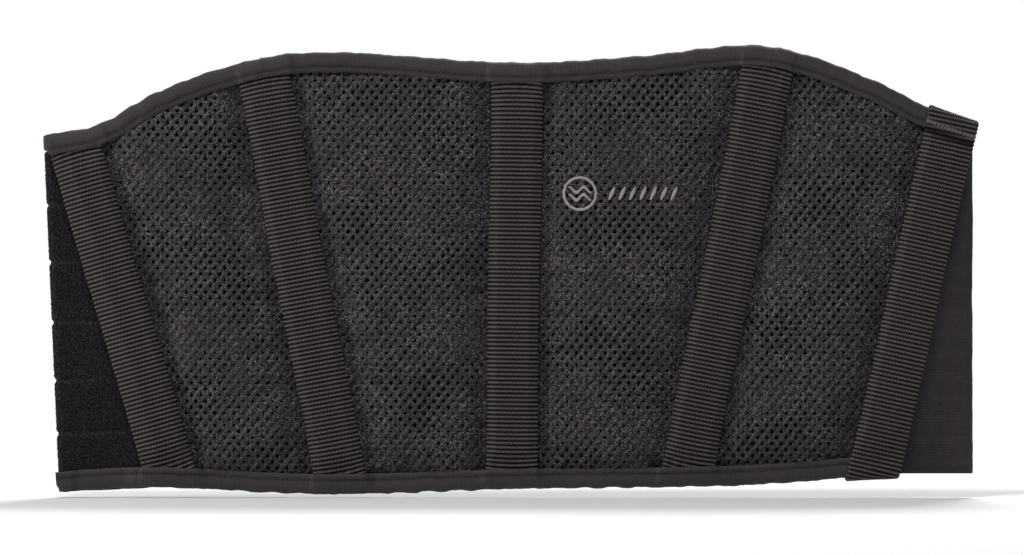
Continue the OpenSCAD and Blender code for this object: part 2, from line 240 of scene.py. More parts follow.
def cloth(name, high, low, rough=0.85, sheen=0.0, relief=0.0, weave=None, weave_h=0.12,
          mottle=0.35, fuzz=None, fuzz_h=0.0, specular=0.3, fleck=None, fleck_size=0.9):
    """A fabric: colour from low to high by each point's relief tone, mostly painted shade in the surface's
    hollows, and by patches, with a fine weave or fuzz.

    weave is (thread pitch along X, thread pitch along Z) in millimetres, fuzz a grain size, and
    fleck the colour of the single filaments that catch the light."""
    mat = bpy.data.materials.new(name)
    mat.use_nodes = True
    nodes, links = mat.node_tree.nodes, mat.node_tree.links
    bsdf = nodes["Principled BSDF"]
    bsdf.inputs["Sheen Weight"].default_value = sheen
    bsdf.inputs["Sheen Roughness"].default_value = 0.45
    bsdf.inputs["Specular IOR Level"].default_value = specular
    where = nodes.new("ShaderNodeTexCoord").outputs["Object"]

    def feed(socket, value):
        """Gives a socket a number or colour, or links it to another node's output."""
        if isinstance(value, (int, float, tuple)):
            socket.default_value = value
        else:
            links.new(value, socket)

    def noise(size, detail=3.0, rough_=0.55):
        n = nodes.new("ShaderNodeTexNoise")
        for key, value in (("Scale", 1000.0 / size), ("Detail", detail), ("Roughness", rough_),
                           ("Vector", where)):
            feed(n.inputs[key], value)
        return n.outputs["Fac"]

    def ramp(source, low_at, high_at, a=0.0, b=1.0):
        m = nodes.new("ShaderNodeMapRange")
        for key, value in (("From Min", low_at), ("From Max", high_at), ("To Min", a), ("To Max", b),
                           ("Value", source)):
            feed(m.inputs[key], value)
        return m.outputs["Result"]

    def maths(op, a, b):
        m = nodes.new("ShaderNodeMath")
        m.operation = op
        feed(m.inputs[0], a)
        feed(m.inputs[1], b)
        return m.outputs["Value"]

    def times(a, b):
        return maths("MULTIPLY", a, b)

    def mix(a, b, share):
        """b's share of the whole and a's rest."""
        return maths("ADD", times(a, 1 - share), times(b, share))

    def blend_colour(fac, a, b):
        m = nodes.new("ShaderNodeMix")
        m.data_type = "RGBA"
        for socket, value in ((0, fac), (6, a), (7, b)):
            feed(m.inputs[socket], value)
        return m.outputs[2]

    low, high = srgb(low), srgb(high)
    patches = ramp(noise(42, 4.0), 0.35, 0.65)
    grain = ramp(noise(1.3, 2.0), 0.3, 0.7)
    mixed = mix(grain, patches, mottle)
    if relief > 0:
        # Painted shade: the relief tone darkens the hollows and lightens the crests.
        attr = nodes.new("ShaderNodeAttribute")
        attr.attribute_name = "relief"
        mixed = mix(mixed, attr.outputs["Fac"], relief)
    height = None
    if weave is not None:
        sep = nodes.new("ShaderNodeSeparateXYZ")
        links.new(where, sep.inputs["Vector"])
        height = times(*(maths("SINE", times(sep.outputs[axis], 2 * math.pi * 1000.0 / pitch), 0.0)
                         for axis, pitch in zip("XZ", weave)))
        # Painted shade between the threads: the weave's crests are lighter.
        mixed = mix(mixed, ramp(height, -1, 1), 0.14)
    if fuzz is not None:
        tuft = noise(fuzz, 5.0, 0.7)
        height = tuft if height is None else maths("ADD", height, tuft)
        # Painted shade among the tufts: the higher tufts are lighter.
        mixed = mix(mixed, ramp(tuft, 0.35, 0.68), 0.4)
    colour = blend_colour(mixed, low, high)
    if fleck is not None:
        shine = ramp(noise(fleck_size, 1.0), 0.54, 0.66)
        caught = times(shine, ramp(noise(26, 2.0), 0.3, 0.7, 0.35, 1.0))
        shade = ramp(noise(fleck_size * 1.3, 1.0), 0.36, 0.56)
        colour = blend_colour(maths("ADD", times(shade, 0.6), 0.4), low, colour)
        colour = blend_colour(times(caught, 0.8), colour, srgb(fleck))
    links.new(colour, bsdf.inputs["Base Color"])
    links.new(ramp(noise(5, 3.0), 0.3, 0.7, rough - 0.08, rough + 0.06), bsdf.inputs["Roughness"])
    bump = nodes.new("ShaderNodeBump")
    bump.inputs["Strength"].default_value = 0.6
    bump.inputs["Distance"].default_value = (fuzz_h if fuzz is not None else weave_h) / 1000.0
    fibre = noise(0.55, 2.0)
    feed(bump.inputs["Height"], fibre if height is None else maths("ADD", height, times(fibre, 0.5)))
    links.new(bump.outputs["Normal"], bsdf.inputs["Normal"])
    return mat


MAT_MESH = cloth("spacer_mesh_cloth", (94, 87, 91), (5, 4, 5), rough=0.7, sheen=0.06,
                 relief=0.85, specular=0.2, weave=(1.0, 1.0), weave_h=0.3,
                 fleck=(138, 129, 136))
MAT_WEB = cloth("ribbed_webbing", (114, 106, 104), (1, 1, 1), rough=0.65,
                relief=0.99, mottle=0.3, specular=0.08)
MAT_BIND = cloth("grosgrain_tape", (72, 66, 70), (14, 12, 13), rough=0.7, sheen=0.06,
                 relief=0.8, mottle=0.4, specular=0.2)
MAT_PILE = cloth("loop_pile", (52, 48, 52), (3, 3, 3), rough=0.95, sheen=0.03,
                 relief=0.5, fuzz=0.9, fuzz_h=0.5, specular=0.04, fleck=(64, 59, 64), fleck_size=1.1)
MAT_PILE_BACK = cloth("pile_backing", (48, 44, 47), (20, 18, 19), rough=0.85,
                      weave=(1.1, 1.1), weave_h=0.1, sheen=0.05)
MAT_ELASTIC = cloth("woven_elastic", (62, 56, 61), (26, 23, 26), rough=0.75, sheen=0.05,
                    relief=0.5, weave=(0.9, 1.3), weave_h=0.07, specular=0.2)
MAT_LINING = cloth("knit_lining", (66, 62, 65), (12, 10, 11), rough=0.9, sheen=0.08,
                   relief=0.7, weave=(1.6, 1.6), weave_h=0.2, specular=0.15)
MAT_FOAM = cloth("foam_core", (16, 14, 15), (5, 4, 5), rough=0.95, specular=0.05)
MAT_STITCH = cloth("sewing_thread", (60, 55, 58), (22, 20, 21), rough=0.6, sheen=0.03)
MAT_MARK = cloth("embroidery_thread", (186, 177, 187), (98, 91, 100), rough=0.5, sheen=0.1,
                 relief=0.6, specular=0.4)
MAT_HOOK = cloth("hook_tape_plastic", (46, 43, 46), (10, 9, 10), rough=0.5,
                 relief=0.6, specular=0.5)
MAT_STAY = cloth("stay_plastic", (205, 203, 196), (180, 178, 170), rough=0.4)
MAT_FLOOR = cloth("floor_paint", (247, 247, 246), (242, 242, 241), rough=0.9,
                  specular=0.1)


# ---------------- the outer face

def edge_distance(x, z):
    """Distance inside the nearer bound edge's tape, roughly."""
    return np.minimum(edge_height(TOP_EDGE, x) - z, z - edge_height(BOTTOM_EDGE, x)) - BINDING_W


def strip_distance(x, z):
    """Distance from the nearest strip's edge, 0 under a strip."""
    return np.maximum(np.min([np.abs(across_strip(k, x, z)) for k in range(5)], 0) - HALF_WEB, 0)


def swell(t):
    """0 at 0, rising towards 1."""
    return t / np.sqrt(1 + t * t)


class Settled:
    """The outer face's height over the flat panel, from a cloth simulation on a coarse grid.

    The cloth is held under the strips and the tapes, is a little larger than the panel, and is
    drawn outwards, so that it swells between the seams and wrinkles beside them."""

    STEP, SLACK, DEEPEST = 4.4, 0.035, 6.8
    SCALE = 0.01             # of the simulated grid, in which one unit is 100 mm
    FRAMES = 26

    def __init__(self):
        self.x = np.arange(-268, 268 + self.STEP, self.STEP)
        self.z = np.arange(-130, 142 + self.STEP, self.STEP)
        X, Z = np.meshgrid(self.x, self.z, indexing="ij")
        held = (strip_distance(X, Z) <= 0.6) | (edge_distance(X, Z) <= 0.6)
        nudge = -0.25 * (~held) * (1 + 0.9 * WRINKLE(X, Z))
        pts = np.stack([X, nudge, Z], -1).reshape(-1, 3) * self.SCALE
        mesh = bpy.data.meshes.new("settling")
        mesh.from_pydata(pts.tolist(), [], grid_faces(len(self.x), len(self.z)).tolist())
        obj = bpy.data.objects.new("settling", mesh)
        scene = bpy.context.scene
        scene.collection.objects.link(obj)
        group = obj.vertex_groups.new(name="held")
        group.add([int(i) for i in np.flatnonzero(held.ravel())], 1.0, "REPLACE")
        mod = obj.modifiers.new("cloth", "CLOTH")
        for key, value in (("quality", 6), ("mass", 0.3), ("tension_stiffness", 18),
                           ("compression_stiffness", 18), ("shear_stiffness", 8),
                           ("bending_stiffness", 0.8), ("vertex_group_mass", "held"),
                           ("shrink_min", -self.SLACK)):
            setattr(mod.settings, key, value)
        mod.collision_settings.use_collision = False
        mod.collision_settings.use_self_collision = False
        gravity = tuple(scene.gravity)
        scene.gravity = (0, -9.81, 0)
        mod.point_cache.frame_start, mod.point_cache.frame_end = 1, self.FRAMES
        for f in range(self.FRAMES):
            scene.frame_set(f + 1)
        graph = bpy.context.evaluated_depsgraph_get()
        done = obj.evaluated_get(graph).to_mesh()
        y = np.array([v.co.y for v in done.vertices]).reshape(X.shape) / self.SCALE
        scene.gravity = gravity
        scene.frame_set(1)
        bpy.data.objects.remove(obj, do_unlink=True)
        rise = np.maximum(-y, 0) * ~held
        self.rise = self.DEEPEST * np.tanh(rise / self.DEEPEST)

    def __call__(self, x, z):
        a = np.clip((np.asarray(x, float) - self.x[0]) / self.STEP, 0, len(self.x) - 1.001)
        b = np.clip((np.asarray(z, float) - self.z[0]) / self.STEP, 0, len(self.z) - 1.001)
        i, j = a.astype(int), b.astype(int)
        u, v = ((smooth(f) + f) / 2 for f in (a - i, b - j))
        g = self.rise
        return ((1 - u) * (1 - v) * g[i, j] + u * (1 - v) * g[i + 1, j]
                + (1 - u) * v * g[i, j + 1] + u * v * g[i + 1, j + 1])


SETTLED = Settled()

# Soft creases pressed into the padding: two ends, depth and width.
CREASES = [(-168, 92, -146, -58, 2.2, 9), (-106, 20, -84, -96, 1.8, 8), (-58, -52, -36, -84, 1.4, 7),
           (-24, 96, -22, -62, 1.5, 8), (26, 58, 76, -24, 1.0, 9), (150, 44, 116, -92, 2.2, 8),
           (206, 14, 134, -62, 1.5, 8), (-222, 40, -196, -64, 1.2, 8)]


def creased(x, z):
    """How deep the padding's creases are at a point."""
    deep = np.zeros(np.broadcast(x, z).shape)
    for x0, z0, x1, z1, depth, width in CREASES:
        run = math.hypot(x1 - x0, z1 - z0)
        ux, uz = (x1 - x0) / run, (z1 - z0) / run
        t = np.clip(((x - x0) * ux + (z - z0) * uz) / run, 0, 1)
        d = np.hypot(x - x0 - t * run * ux, z - z0 - t * run * uz) + 2.5 * WRINKLE(x, z)
        deep = deep + depth * np.sin(math.pi * np.clip(t, 0.08, 0.92)) * np.exp(-(d / width) ** 2)
    return deep


def front_y(x, z):
    """y of the padded panel's outer face: it swells between the strips and sinks at its seams."""
    ds, de = strip_distance(x, z), np.maximum(edge_distance(x, z), 0)
    ripple = (0.3 * WRINKLE(x, z * 0.6) - creased(x, z)) * swell(ds / 8) * swell(de / 6)
    seam = 1.9 * np.exp(-(((ds - 3.2) / 3.4) ** 2)) + 0.9 * np.exp(-(((de - 1.8) / 1.6) ** 2)) * (ds > 0)
    return FACE_Y - SETTLED(x, z) - ripple + np.minimum(seam, 1.9)


PANEL_X = (-258, 254)          # the padding's ends
OVERHANG = 13                  # how far it passes the centre lines of the outer strips
CELL = np.array((2.75, 3.5))   # half a cell of the net


def mesh_panel(k):
    """The net of spacer mesh between the centre lines of strips k and k+1, with its real holes."""
    a, b = CELL, CELL * (1, -1)
    i, j = np.meshgrid(np.arange(-140, 140), np.arange(-140, 140), indexing="ij")
    origin = i.ravel()[:, None] * a + j.ravel()[:, None] * b
    c = origin + (a + b) / 2
    cx, cz = c.T
    left = strip_line(k, cz) - (0 if k else OVERHANG)
    right = strip_line(k + 1, cz) + (0 if k < 3 else OVERHANG)
    keep = ((cx > left) & (cx <= right) & (edge_distance(cx, cz) > -BINDING_W + 3.4)
            & (cx > PANEL_X[0]) & (cx < PANEL_X[1]))
    origin, c = origin[keep], c[keep]
    cx, cz = c.T
    n = len(c)
    # Three rings of eight points: the cell's rim, one between, and the hole.
    rim = np.array([(0, 0), a / 2, a, a + b / 2, a + b, b + a / 2, b, b / 2])
    hole = np.array([(-0.95, 0), (-0.68, 0.72), (0, 1.05), (0.68, 0.72),
                     (0.95, 0), (0.68, -0.72), (0, -1.05), (-0.68, -0.72)])
    middle = (rim - (a + b) / 2) * 0.52 + hole * 0.5
    jitter = RNG.normal(0, 0.07, (n, 8, 2))
    open_ = (0.46 + 0.38 * swell(strip_distance(cx, cz) / 22)
             + 0.34 * WRINKLE(cz * 0.8 + 300, cx * 0.8) + RNG.normal(0, 0.12, n))
    holes = c[:, None, :] + hole * np.clip(open_, 0.25, 1.1)[:, None, None] + jitter
    rings = (origin[:, None, :] + rim, c[:, None, :] + middle, holes)
    flat = np.concatenate([ring.reshape(-1, 2) for ring in rings])

    def each(*rows):
        """Values for the three rings' points, each given for half a cell."""
        return np.concatenate([np.tile(row, 2 * n) for row in rows])

    lift = each([0.30, 0.52, 0.30, 0.10], [0.25, 0.42, 0.25, 0.08], [-0.35] * 4)
    # Painted shade: the yarn's raised points are lighter, and the holes' walls are black.
    tone = each([0.62, 1.0, 0.62, 0.28], [0.45, 0.8, 0.45, 0.2], [0.0] * 4)
    first, where = np.unique(np.round(flat * 200).astype(np.int64), axis=0,
                             return_index=True, return_inverse=True)[1:]
    here = np.arange(n)[:, None] * 8 + np.arange(8)
    ahead = np.arange(n)[:, None] * 8 + (np.arange(8) + 1) % 8
    quads = np.stack([here, ahead, ahead + 8 * n, here + 8 * n], 2).reshape(-1, 4)
    faces = where.ravel()[np.concatenate([quads, quads + 8 * n])]
    flat, lift, tone = flat[first], lift[first], tone[first]
    x, z = flat[:, 0], flat[:, 1]
    # Painted shade: the net is darker beside the strips and the bound edges, where it sinks into its seams.
    painted_seam_shade = (0.2 + 0.8 * swell(strip_distance(x, z) / 9)) * (0.6 + 0.4 * swell(edge_distance(x, z) / 6))
    tone = np.clip(tone * painted_seam_shade * (0.1 + 1.3 * RNG.random(len(tone)) ** 1.6), 0, 1)
    y = front_y(x, z) - lift * RNG.uniform(0.6, 1.3, len(lift)) + 0.08 * FINE(x, z)
    obj = make_object(f"spacer_mesh_{k}", np.stack([x, y, z], 1), faces[:, ::-1], MAT_MESH, tone)
    return solidify(obj, 0.7, -1.0)


def panel_grid(left, right, pitch, inset):
    """x and z of a grid that fills the panel between two lines given as functions of z."""
    zs = np.linspace(0, 1, int(240 / pitch))
    width = abs(float(right(0.0) - left(0.0)))
    us = np.linspace(0, 1, max(int(width / pitch), 4))
    u, v = np.meshgrid(us, zs)
    z = -115 + 240 * v
    for _ in range(6):
        x = left(z) + (right(z) - left(z)) * u
        lo, hi = edge_height(BOTTOM_EDGE, x) + inset, edge_height(TOP_EDGE, x) - inset
        z = lo + (hi - lo) * v
    return x, z


def panel_lines(k):
    """The lines between which panel k's foam and lining lie, as functions of z."""
    def left(z):
        return strip_line(k, z) if k else np.maximum(strip_line(0, z) - OVERHANG, PANEL_X[0])

    def right(z):
        return strip_line(k + 1, z) if k < 3 else np.minimum(strip_line(4, z) + OVERHANG, PANEL_X[1] + 1)
    return left, right


def foam_pad(k):
    """The foam under one mesh panel: crowned towards the outside, flat towards the wearer."""
    x, z = panel_grid(*panel_lines(k), 3.4, 4.0)
    front = np.stack([x, front_y(x, z) + 1.35, z], -1)
    back = np.stack([x, np.full_like(x, -1.05), z], -1)
    verts, faces = closed_sheet(front, back)
    return make_object(f"foam_pad_{k}", verts, faces, MAT_FOAM)


def lining_pad(k):
    """The wearer's side: knit that dips along the seams that hold the strips."""
    x, z = panel_grid(*panel_lines(k), 1.7, BINDING_W - 2.0)
    seam = np.min([np.abs(np.abs(across_strip(s, x, z)) - HALF_WEB + 1.5) for s in range(5)], 0)
    edge = np.maximum(edge_distance(x, z), 0)
    crown = 0.9 * swell(seam / 5) * swell(edge / 5) + 0.18 * WRINKLE(z, x)
    knit = np.abs(np.sin(math.pi * x / 3.4)) * np.abs(np.sin(math.pi * z / 3.4))
    y = crown - 0.5 * np.exp(-(seam / 0.9) ** 2) + 0.16 * knit
    back = np.stack([x, y, z], -1)
    front = np.stack([x, np.full_like(x, -1.0), z], -1)
    verts, faces = closed_sheet(front, back)
    # Painted shade: darker along the seams' dips, and lighter on the knit's raised loops.
    shown = np.clip(0.25 + 0.75 * knit - 0.8 * np.exp(-(seam / 1.2) ** 2), 0, 1)
    tone = np.concatenate([np.full(x.size, 0.5), shown.ravel()])
    return make_object(f"lining_pad_{k}", verts, faces, MAT_LINING, tone, sharp=62)


def body_pair(k):
    """The two bodies that panel k joins, and where its fabric starts and ends to curve."""
    x0, x1 = BEND_ZONE[k]
    return SEGMENTS[k], SEGMENTS[k + 1], (x0 / 1000, 0, 0), (x1 / 1000, 0, 0)


# ---------------- webbing strips

def strip_axes(k):
    """Strip k's foot, and the directions up it and across it, in x and z."""
    lean = strip_lean(k)
    up = np.array((math.sin(lean), math.cos(lean)))
    return np.array((STRIP_X[k][1], STRIP_BOTTOM_Z)), up, np.array((up[1], -up[0]))


def strip_end(k, side, depth=0.0, t=0.0):
    """Distance along strip k from its foot, at t across it, to a depth inside the panel's top (1) or
    bottom (-1) edge."""
    foot, up, across = strip_axes(k)
    curve = TOP_EDGE if side > 0 else BOTTOM_EDGE
    s = 200.0 if side > 0 else -10.0
    for _ in range(14):
        p = foot + up * s + across * t
        s -= (p[1] - (edge_height(curve, p[0]) - side * depth)) / up[1]
    return float(s)


RIB, BEAD = 2.47, 1.45                           # the weave's pitch along and across
WEB_T = np.linspace(-HALF_WEB, HALF_WEB, 85)     # points across a strip
SUNK_AT = 14.7


def strip_profile(k, t):
    """Height of the strip's underside above the panel, across its width: it arches over its stay."""
    if k in (0, 4):
        t = -t if k else t
        return 3.4 * (np.clip((t + 15) / 10.5, 0, 1) * np.clip((15 - t) / 4.5, 0, 1)) ** 0.9
    return 2.4 * smooth((14.4 - np.abs(t)) / 5.5)


def weave_relief(s, t):
    """Height and tone of the ribbed weave: rows of beads, every other row moved by half a bead. The tone is
    painted shade, dark in the valleys between the ribs and the beads.
    """
    row = np.floor(s / RIB)
    rib = np.abs(np.sin(math.pi * s / RIB))
    bead = np.abs(np.sin(math.pi * (t / BEAD + 0.5 * (row % 2)))) ** 0.7
    return 0.95 * rib**0.8 * (0.5 + 0.5 * bead), rib**4 * (0.08 + 0.92 * bead)


def on_strip(k, s, t, y):
    """Points s along strip k and t across it."""
    foot, up, across = strip_axes(k)
    P = foot + up * s[..., None] + across * t[..., None]
    return np.stack(np.broadcast_arrays(P[..., 0], y, P[..., 1]), -1)


def woven_edge(s, t):
    """The strip's selvedge, from 0 to 1, and t with the selvedge's small scallops."""
    selvedge = np.clip((np.abs(t) - 13.6) / 1.4, 0, 1)
    return selvedge, t + np.sign(t) * selvedge * 0.28 * np.sin(2 * math.pi * s / RIB)


def webbing(k):
    """One strip of ribbed elastic, its ends tucked under the bindings."""
    lo, hi = strip_end(k, -1, 5.5), strip_end(k, 1, 5.5)
    s = np.arange(lo, hi, RIB / 4)
    S, T = np.meshgrid(s, WEB_T, indexing="ij")
    rows, cols = S.shape
    near_end = np.minimum(S - lo, hi - S)
    bow = (1 - (T / 15) ** 2) * 2.0 * (np.exp(-(S - lo) / 11) - np.exp(-(hi - S) / 11))
    h, tone = weave_relief(S + bow, T)
    selvedge, out = woven_edge(S, T)
    out = out + (0.35 * np.sin(S / 31 + k) + 0.16 * PUCKER(S, 9.0 * k))
    arch = strip_profile(k, T) * smooth((near_end - 6.0) / 13)
    press = 0.35 * WRINKLE(S + 77 * k, T) * smooth(near_end / 20)
    gather = 0.35 * np.sin(T * 1.1 + k) * np.exp(-np.maximum(near_end - 6, 0) / 5)
    y = FACE_Y - WEBBING_T - arch - press * 0.4 - gather - h + 1.3 * selvedge**2
    # Below the woven face: two lines of points sunk into the mesh, left and right.
    sunk = [on_strip(k, s, np.full(rows, at), FACE_Y + 0.5) for at in (-SUNK_AT, SUNK_AT)]
    verts = np.concatenate([on_strip(k, S, out, y).reshape(-1, 3), *sunk])
    grid = np.arange(rows * cols).reshape(rows, cols)
    left, right = rows * cols + np.arange(2 * rows).reshape(2, rows)

    def wall(a, b):
        return np.stack([a[:-1], a[1:], b[1:], b[:-1]], 1).tolist()

    ends = [[*grid[0, ::-1], left[0], right[0]], [*grid[-1], right[-1], left[-1]]]
    faces = (grid_faces(rows, cols).tolist() + wall(grid[:, 0], left) + wall(right, grid[:, -1])
             + wall(left, right) + ends)
    # The sunk sides are painted black: painted shade where the strip meets the net.
    tone = np.concatenate([tone.ravel(), np.zeros(2 * rows)])
    return make_object(f"webbing_strip_{k}", verts, faces, MAT_WEB, tone)


def wrapped_webbing(k=4):
    """The outer right strip: it runs over both bound edges and is turned under behind them."""
    r_out, mid_y, flap = 5.6, -3.6, 7.0      # the turn's radius and centre, and the part behind it
    turn = math.pi * r_out
    length = np.arange(-turn - flap - 8, 235 + turn + flap + 8, RIB / 4)
    L, T = np.meshgrid(length, WEB_T, indexing="ij")
    hi, lo = (np.array([strip_end(k, side, t=t) for t in WEB_T])[None, :] + side * (1.2 - r_out)
              for side in (1, -1))
    over, under = L - hi, lo - L
    e = np.minimum(np.maximum(np.maximum(over, under), 0), turn + flap)
    side = np.where(over > under, 1.0, -1.0)
    a = np.minimum(e, turn) / r_out
    past = np.maximum(e - turn, 0)
    S = np.where(e > 0, np.where(side > 0, hi, lo) + side * (r_out * np.sin(a) - past), L)
    h, tone = weave_relief(L, T)
    selvedge, out = woven_edge(L, T)
    into = np.minimum(hi - L, L - lo)
    arch = strip_profile(k, T) * smooth((into - 3.0) / 16)
    lift = np.where(e > 0, 0.0, (mid_y - r_out) - (FACE_Y - WEBBING_T - 0.2)) * smooth(into / 22)
    bar = np.exp(-(((hi - L - 8.0) / 2.2) ** 2))
    tack = np.exp(-(((hi - L - 3.4) / 1.0) ** 2)) * (np.abs(np.sin(math.pi * T / 2.2)) > 0.35)
    tone = np.maximum(tone * (1 - 0.85 * bar), tack * (e <= 0))
    press = 0.3 * WRINKLE(L, T) * smooth(into / 20)
    amount = h * (1 - 0.6 * bar) + arch - 0.7 * bar + press - 1.2 * selvedge**2
    ny, ns = -np.cos(a), side * np.sin(a)
    S = S + ns * amount
    Y = mid_y - r_out * np.cos(a) + ny * amount - lift
    outer = on_strip(k, S, out + 0.35 * np.sin(L / 31), Y)
    inner = on_strip(k, S - ns * (amount + WEBBING_T * 0.9), T * 0.97,
                     Y - ny * (amount * 0.75 + WEBBING_T * 0.9))
    verts, faces = closed_sheet(outer, inner)
    # The inner side is painted black: painted shade under the strip.
    tone = np.concatenate([tone.ravel(), np.zeros(tone.size)])
    return make_object(f"webbing_strip_{k}", verts, faces, MAT_WEB, tone)


# ---------------- bindings

STITCH_DEPTH = 8.3
SECTION = np.array([
    (11.6, -0.35), (11.8, -1.0), (10.6, -1.5), (9.4, -1.7), (8.3, -1.78), (7.2, -1.84), (5.6, -1.9),
    (3.8, -1.75), (1.9, -1.2), (0.55, -0.3), (0.0, 0.9)])


def binding_piece(name, side, x0, x1):
    """Tape folded round the top (1) or bottom (-1) edge between two x values, and its stitches."""
    curve = TOP_EDGE if side > 0 else BOTTOM_EDGE
    x = np.arange(x0, x1 + 1e-6, (x1 - x0) / round((x1 - x0) / (TAPE_RIB / 3)))
    z = edge_height(curve, x)
    slope = edge_height(curve, x + 0.5) - edge_height(curve, x - 0.5)
    nrm = np.stack([slope * side, -side * np.ones_like(x)], 1)
    nrm /= np.linalg.norm(nrm, axis=1, keepdims=True)
    run = np.concatenate([[0], np.cumsum(np.hypot(np.diff(x), np.diff(z)))]) + x0
    over = np.max([smooth((18.5 - np.abs(across_strip(k, x, z - side * 8))) / 4.0) for k in range(4)], 0)
    # At the left end the tape closes over the edge; at its bottom it is thinned and its corner rounded.
    low = side < 0
    thin = low * smooth((-220 - x) / 6)
    cap = smooth(((-252 if low else -255) - x) / 5)
    corner = low * 5.0 * np.clip((-260.5 - x) / 5, 0, 1) ** 2
    front = FACE_Y - 0.15 + thin * 1.7 * (1 - cap)
    back = (-0.55 - thin * 0.9) * (1 - cap) - 6.7 * cap
    pucker = 0.34 * PUCKER(run, 40.0 * side) + 0.16 * np.sin(run / 2.9)
    grain = np.abs(np.sin(math.pi * run / TAPE_RIB))
    inner = 0.75
    rows, tones = [], []

    def section(points, line):
        """Adds a row of points for each point of the section: line gives its depth, y and tone."""
        for n0, d in points:
            share = np.clip(n0 / SECTION[0, 0], 0, 1)
            n, y, tone = line(n0, d, share, pucker * (0.35 + 0.65 * (1 - share)), corner * (1 - share))
            rows.append((n, y))
            tones.append(tone)

    def outer_front(n0, d, share, sway, bend):
        # Painted shade: the tone darkens the stitch groove and the dips between the tape's ribs.
        groove = math.exp(-(((n0 - STITCH_DEPTH) / 0.9) ** 2))
        y = (front + d - 2.0 * over * share**0.6 * (d < 0) - 0.2 * grain
             + 0.3 * PUCKER(run + 3 * n0, n0) * share + 0.45 * groove)
        y = (front + back) / 2 - 0.2 if d >= 0.8 else y
        return n0 + sway - 0.05 * grain + bend, y, grain * (1 - 0.75 * groove) - 0.3 * groove

    def outer_back(n0, d, share, sway, bend):
        y = back - d * (0.62 - 0.45 * cap) + 0.1 * grain - 0.45
        return (n0 + sway + bend) * (0.97 if n0 > 1 else 1), y, grain

    def inner_back(n0, d, share, sway, bend):
        y = back - d * (0.62 - 0.45 * cap) - (inner + 0.3) * (1 - cap) - 0.5 * cap
        return max(n0 * 0.95, inner + 0.4) + bend, np.minimum(y, back + 0.1), np.zeros_like(x)

    def inner_front(n0, d, share, sway, bend):
        y = front + d + inner * (1 - 0.6 * cap) - 2.0 * over * share**0.6
        return max(n0 * 0.97, inner + 0.4) + bend, y, np.zeros_like(x)

    section(SECTION, outer_front)
    section(SECTION[-2::-1], outer_back)
    section(SECTION[:-2], inner_back)
    section(SECTION[-3::-1], inner_front)
    pts = np.stack([np.stack([x + nrm[:, 0] * n, y, z + nrm[:, 1] * n], -1) for n, y in rows], 1)
    faces = tube_faces(len(x), len(rows), side > 0, low)
    tape = make_object(name, pts.reshape(-1, 3), faces, MAT_BIND, 0.25 + 0.75 * np.stack(tones, 1).ravel())

    starts, ends = [], []
    length, pitch = 2.5, 3.3
    at = run[0] + 1.5
    while at + length < run[-1]:
        for r, into in ((at, starts), (at + length, ends)):
            i = min(np.searchsorted(run, r), len(run) - 1)
            into.append((x[i] + nrm[i, 0] * STITCH_DEPTH, front[i] - 1.4 - 1.6 * over[i],
                         z[i] + nrm[i, 1] * STITCH_DEPTH))
        at += pitch
    return tape, stitch_mesh(name.replace("tape", "stitches"), starts, ends, (0, -1, 0))


def stitch_mesh(name, starts, ends, outward, radius=0.27):
    """Short rounded stitches, each between two points, lying on a surface that faces outward."""
    ring = 6
    stops = ((0.0, 0.25, -0.30), (0.12, 0.85, 0.0), (0.5, 1.0, 0.06), (0.88, 0.85, 0.0), (1.0, 0.25, -0.30))
    tube = tube_faces(len(stops), ring)
    o = np.array(outward)
    verts, faces = [], []
    for p, q in zip(np.array(starts), np.array(ends)):
        along = (q - p) / max(np.linalg.norm(q - p), 1e-6)
        sideways = np.cross(along, o)
        faces += [[len(verts) + i for i in f] for f in tube]
        for at, wide, up in stops:
            c = p + (q - p) * at + o * up
            for m in range(ring):
                a = 2 * math.pi * m / ring
                verts.append(c + radius * wide * (math.cos(a) * sideways + math.sin(a) * o))
    return make_object(name, np.array(verts), faces, MAT_STITCH)


# ---------------- wings

def fold_point(fold, mirror, along, y, up):
    """A point given in a fold line's own frame: along into the panel, up the line."""
    x0, z0, lean = fold
    c, s = math.cos(lean), math.sin(lean)
    lx = along * mirror
    return np.stack(np.broadcast_arrays(x0 + lx * c + up * s, y, z0 - lx * s + up * c), -1)


def round_fold(tab, a, root):
    """A wing's middle surface from its tab round the fold to its root: along, y, the two parts of the
    outward direction, and the arc length. a holds the turn's angles."""
    sin, cos, flat_tab, flat_root = np.sin(a), np.cos(a), np.zeros(tab.shape), np.zeros(root.shape)
    parts = ((tab, -TURN_R * sin, root),
             (flat_tab + TAB_Y, FOLD_Y - TURN_R * cos, flat_root + WING_Y),
             (flat_tab, -sin, flat_root),
             (flat_tab - 1, -cos, flat_root + 1),
             (-tab, TURN_R * a, math.pi * TURN_R + root))
    return [np.concatenate(part, -1) for part in parts]


def past_fold(root):
    """The same for a part that begins beyond the fold."""
    return round_fold(root[..., :0], root[..., :0], root)


def pile_height(up, arc):
    """How far the pile stands out, and its tone: rows with rounded edges and a ragged surface."""
    h = np.zeros_like(up)
    for lo, hi in zip(ROW_EDGES[:-1], ROW_EDGES[1:]):
        inside = np.clip(np.minimum(up - lo, hi - up) - 0.95 + 0.35 * TUFT(arc, lo), 0, 99)
        h = np.maximum(h, np.sqrt(np.clip(1 - (1 - np.clip(inside / 1.6, 0, 1)) ** 2, 0, 1)))
    ragged = 0.22 * TUFT(arc * 1.1, up * 1.1) + 0.12 * FINE(arc * 2, up * 2)
    groove = np.where(h < 0.6, 1.0, 0.0)
    return h + ragged * (0.4 + h), np.clip(0.3 + 0.2 * h + 1.2 * ragged + 1.4 * groove, 0, 2.2)


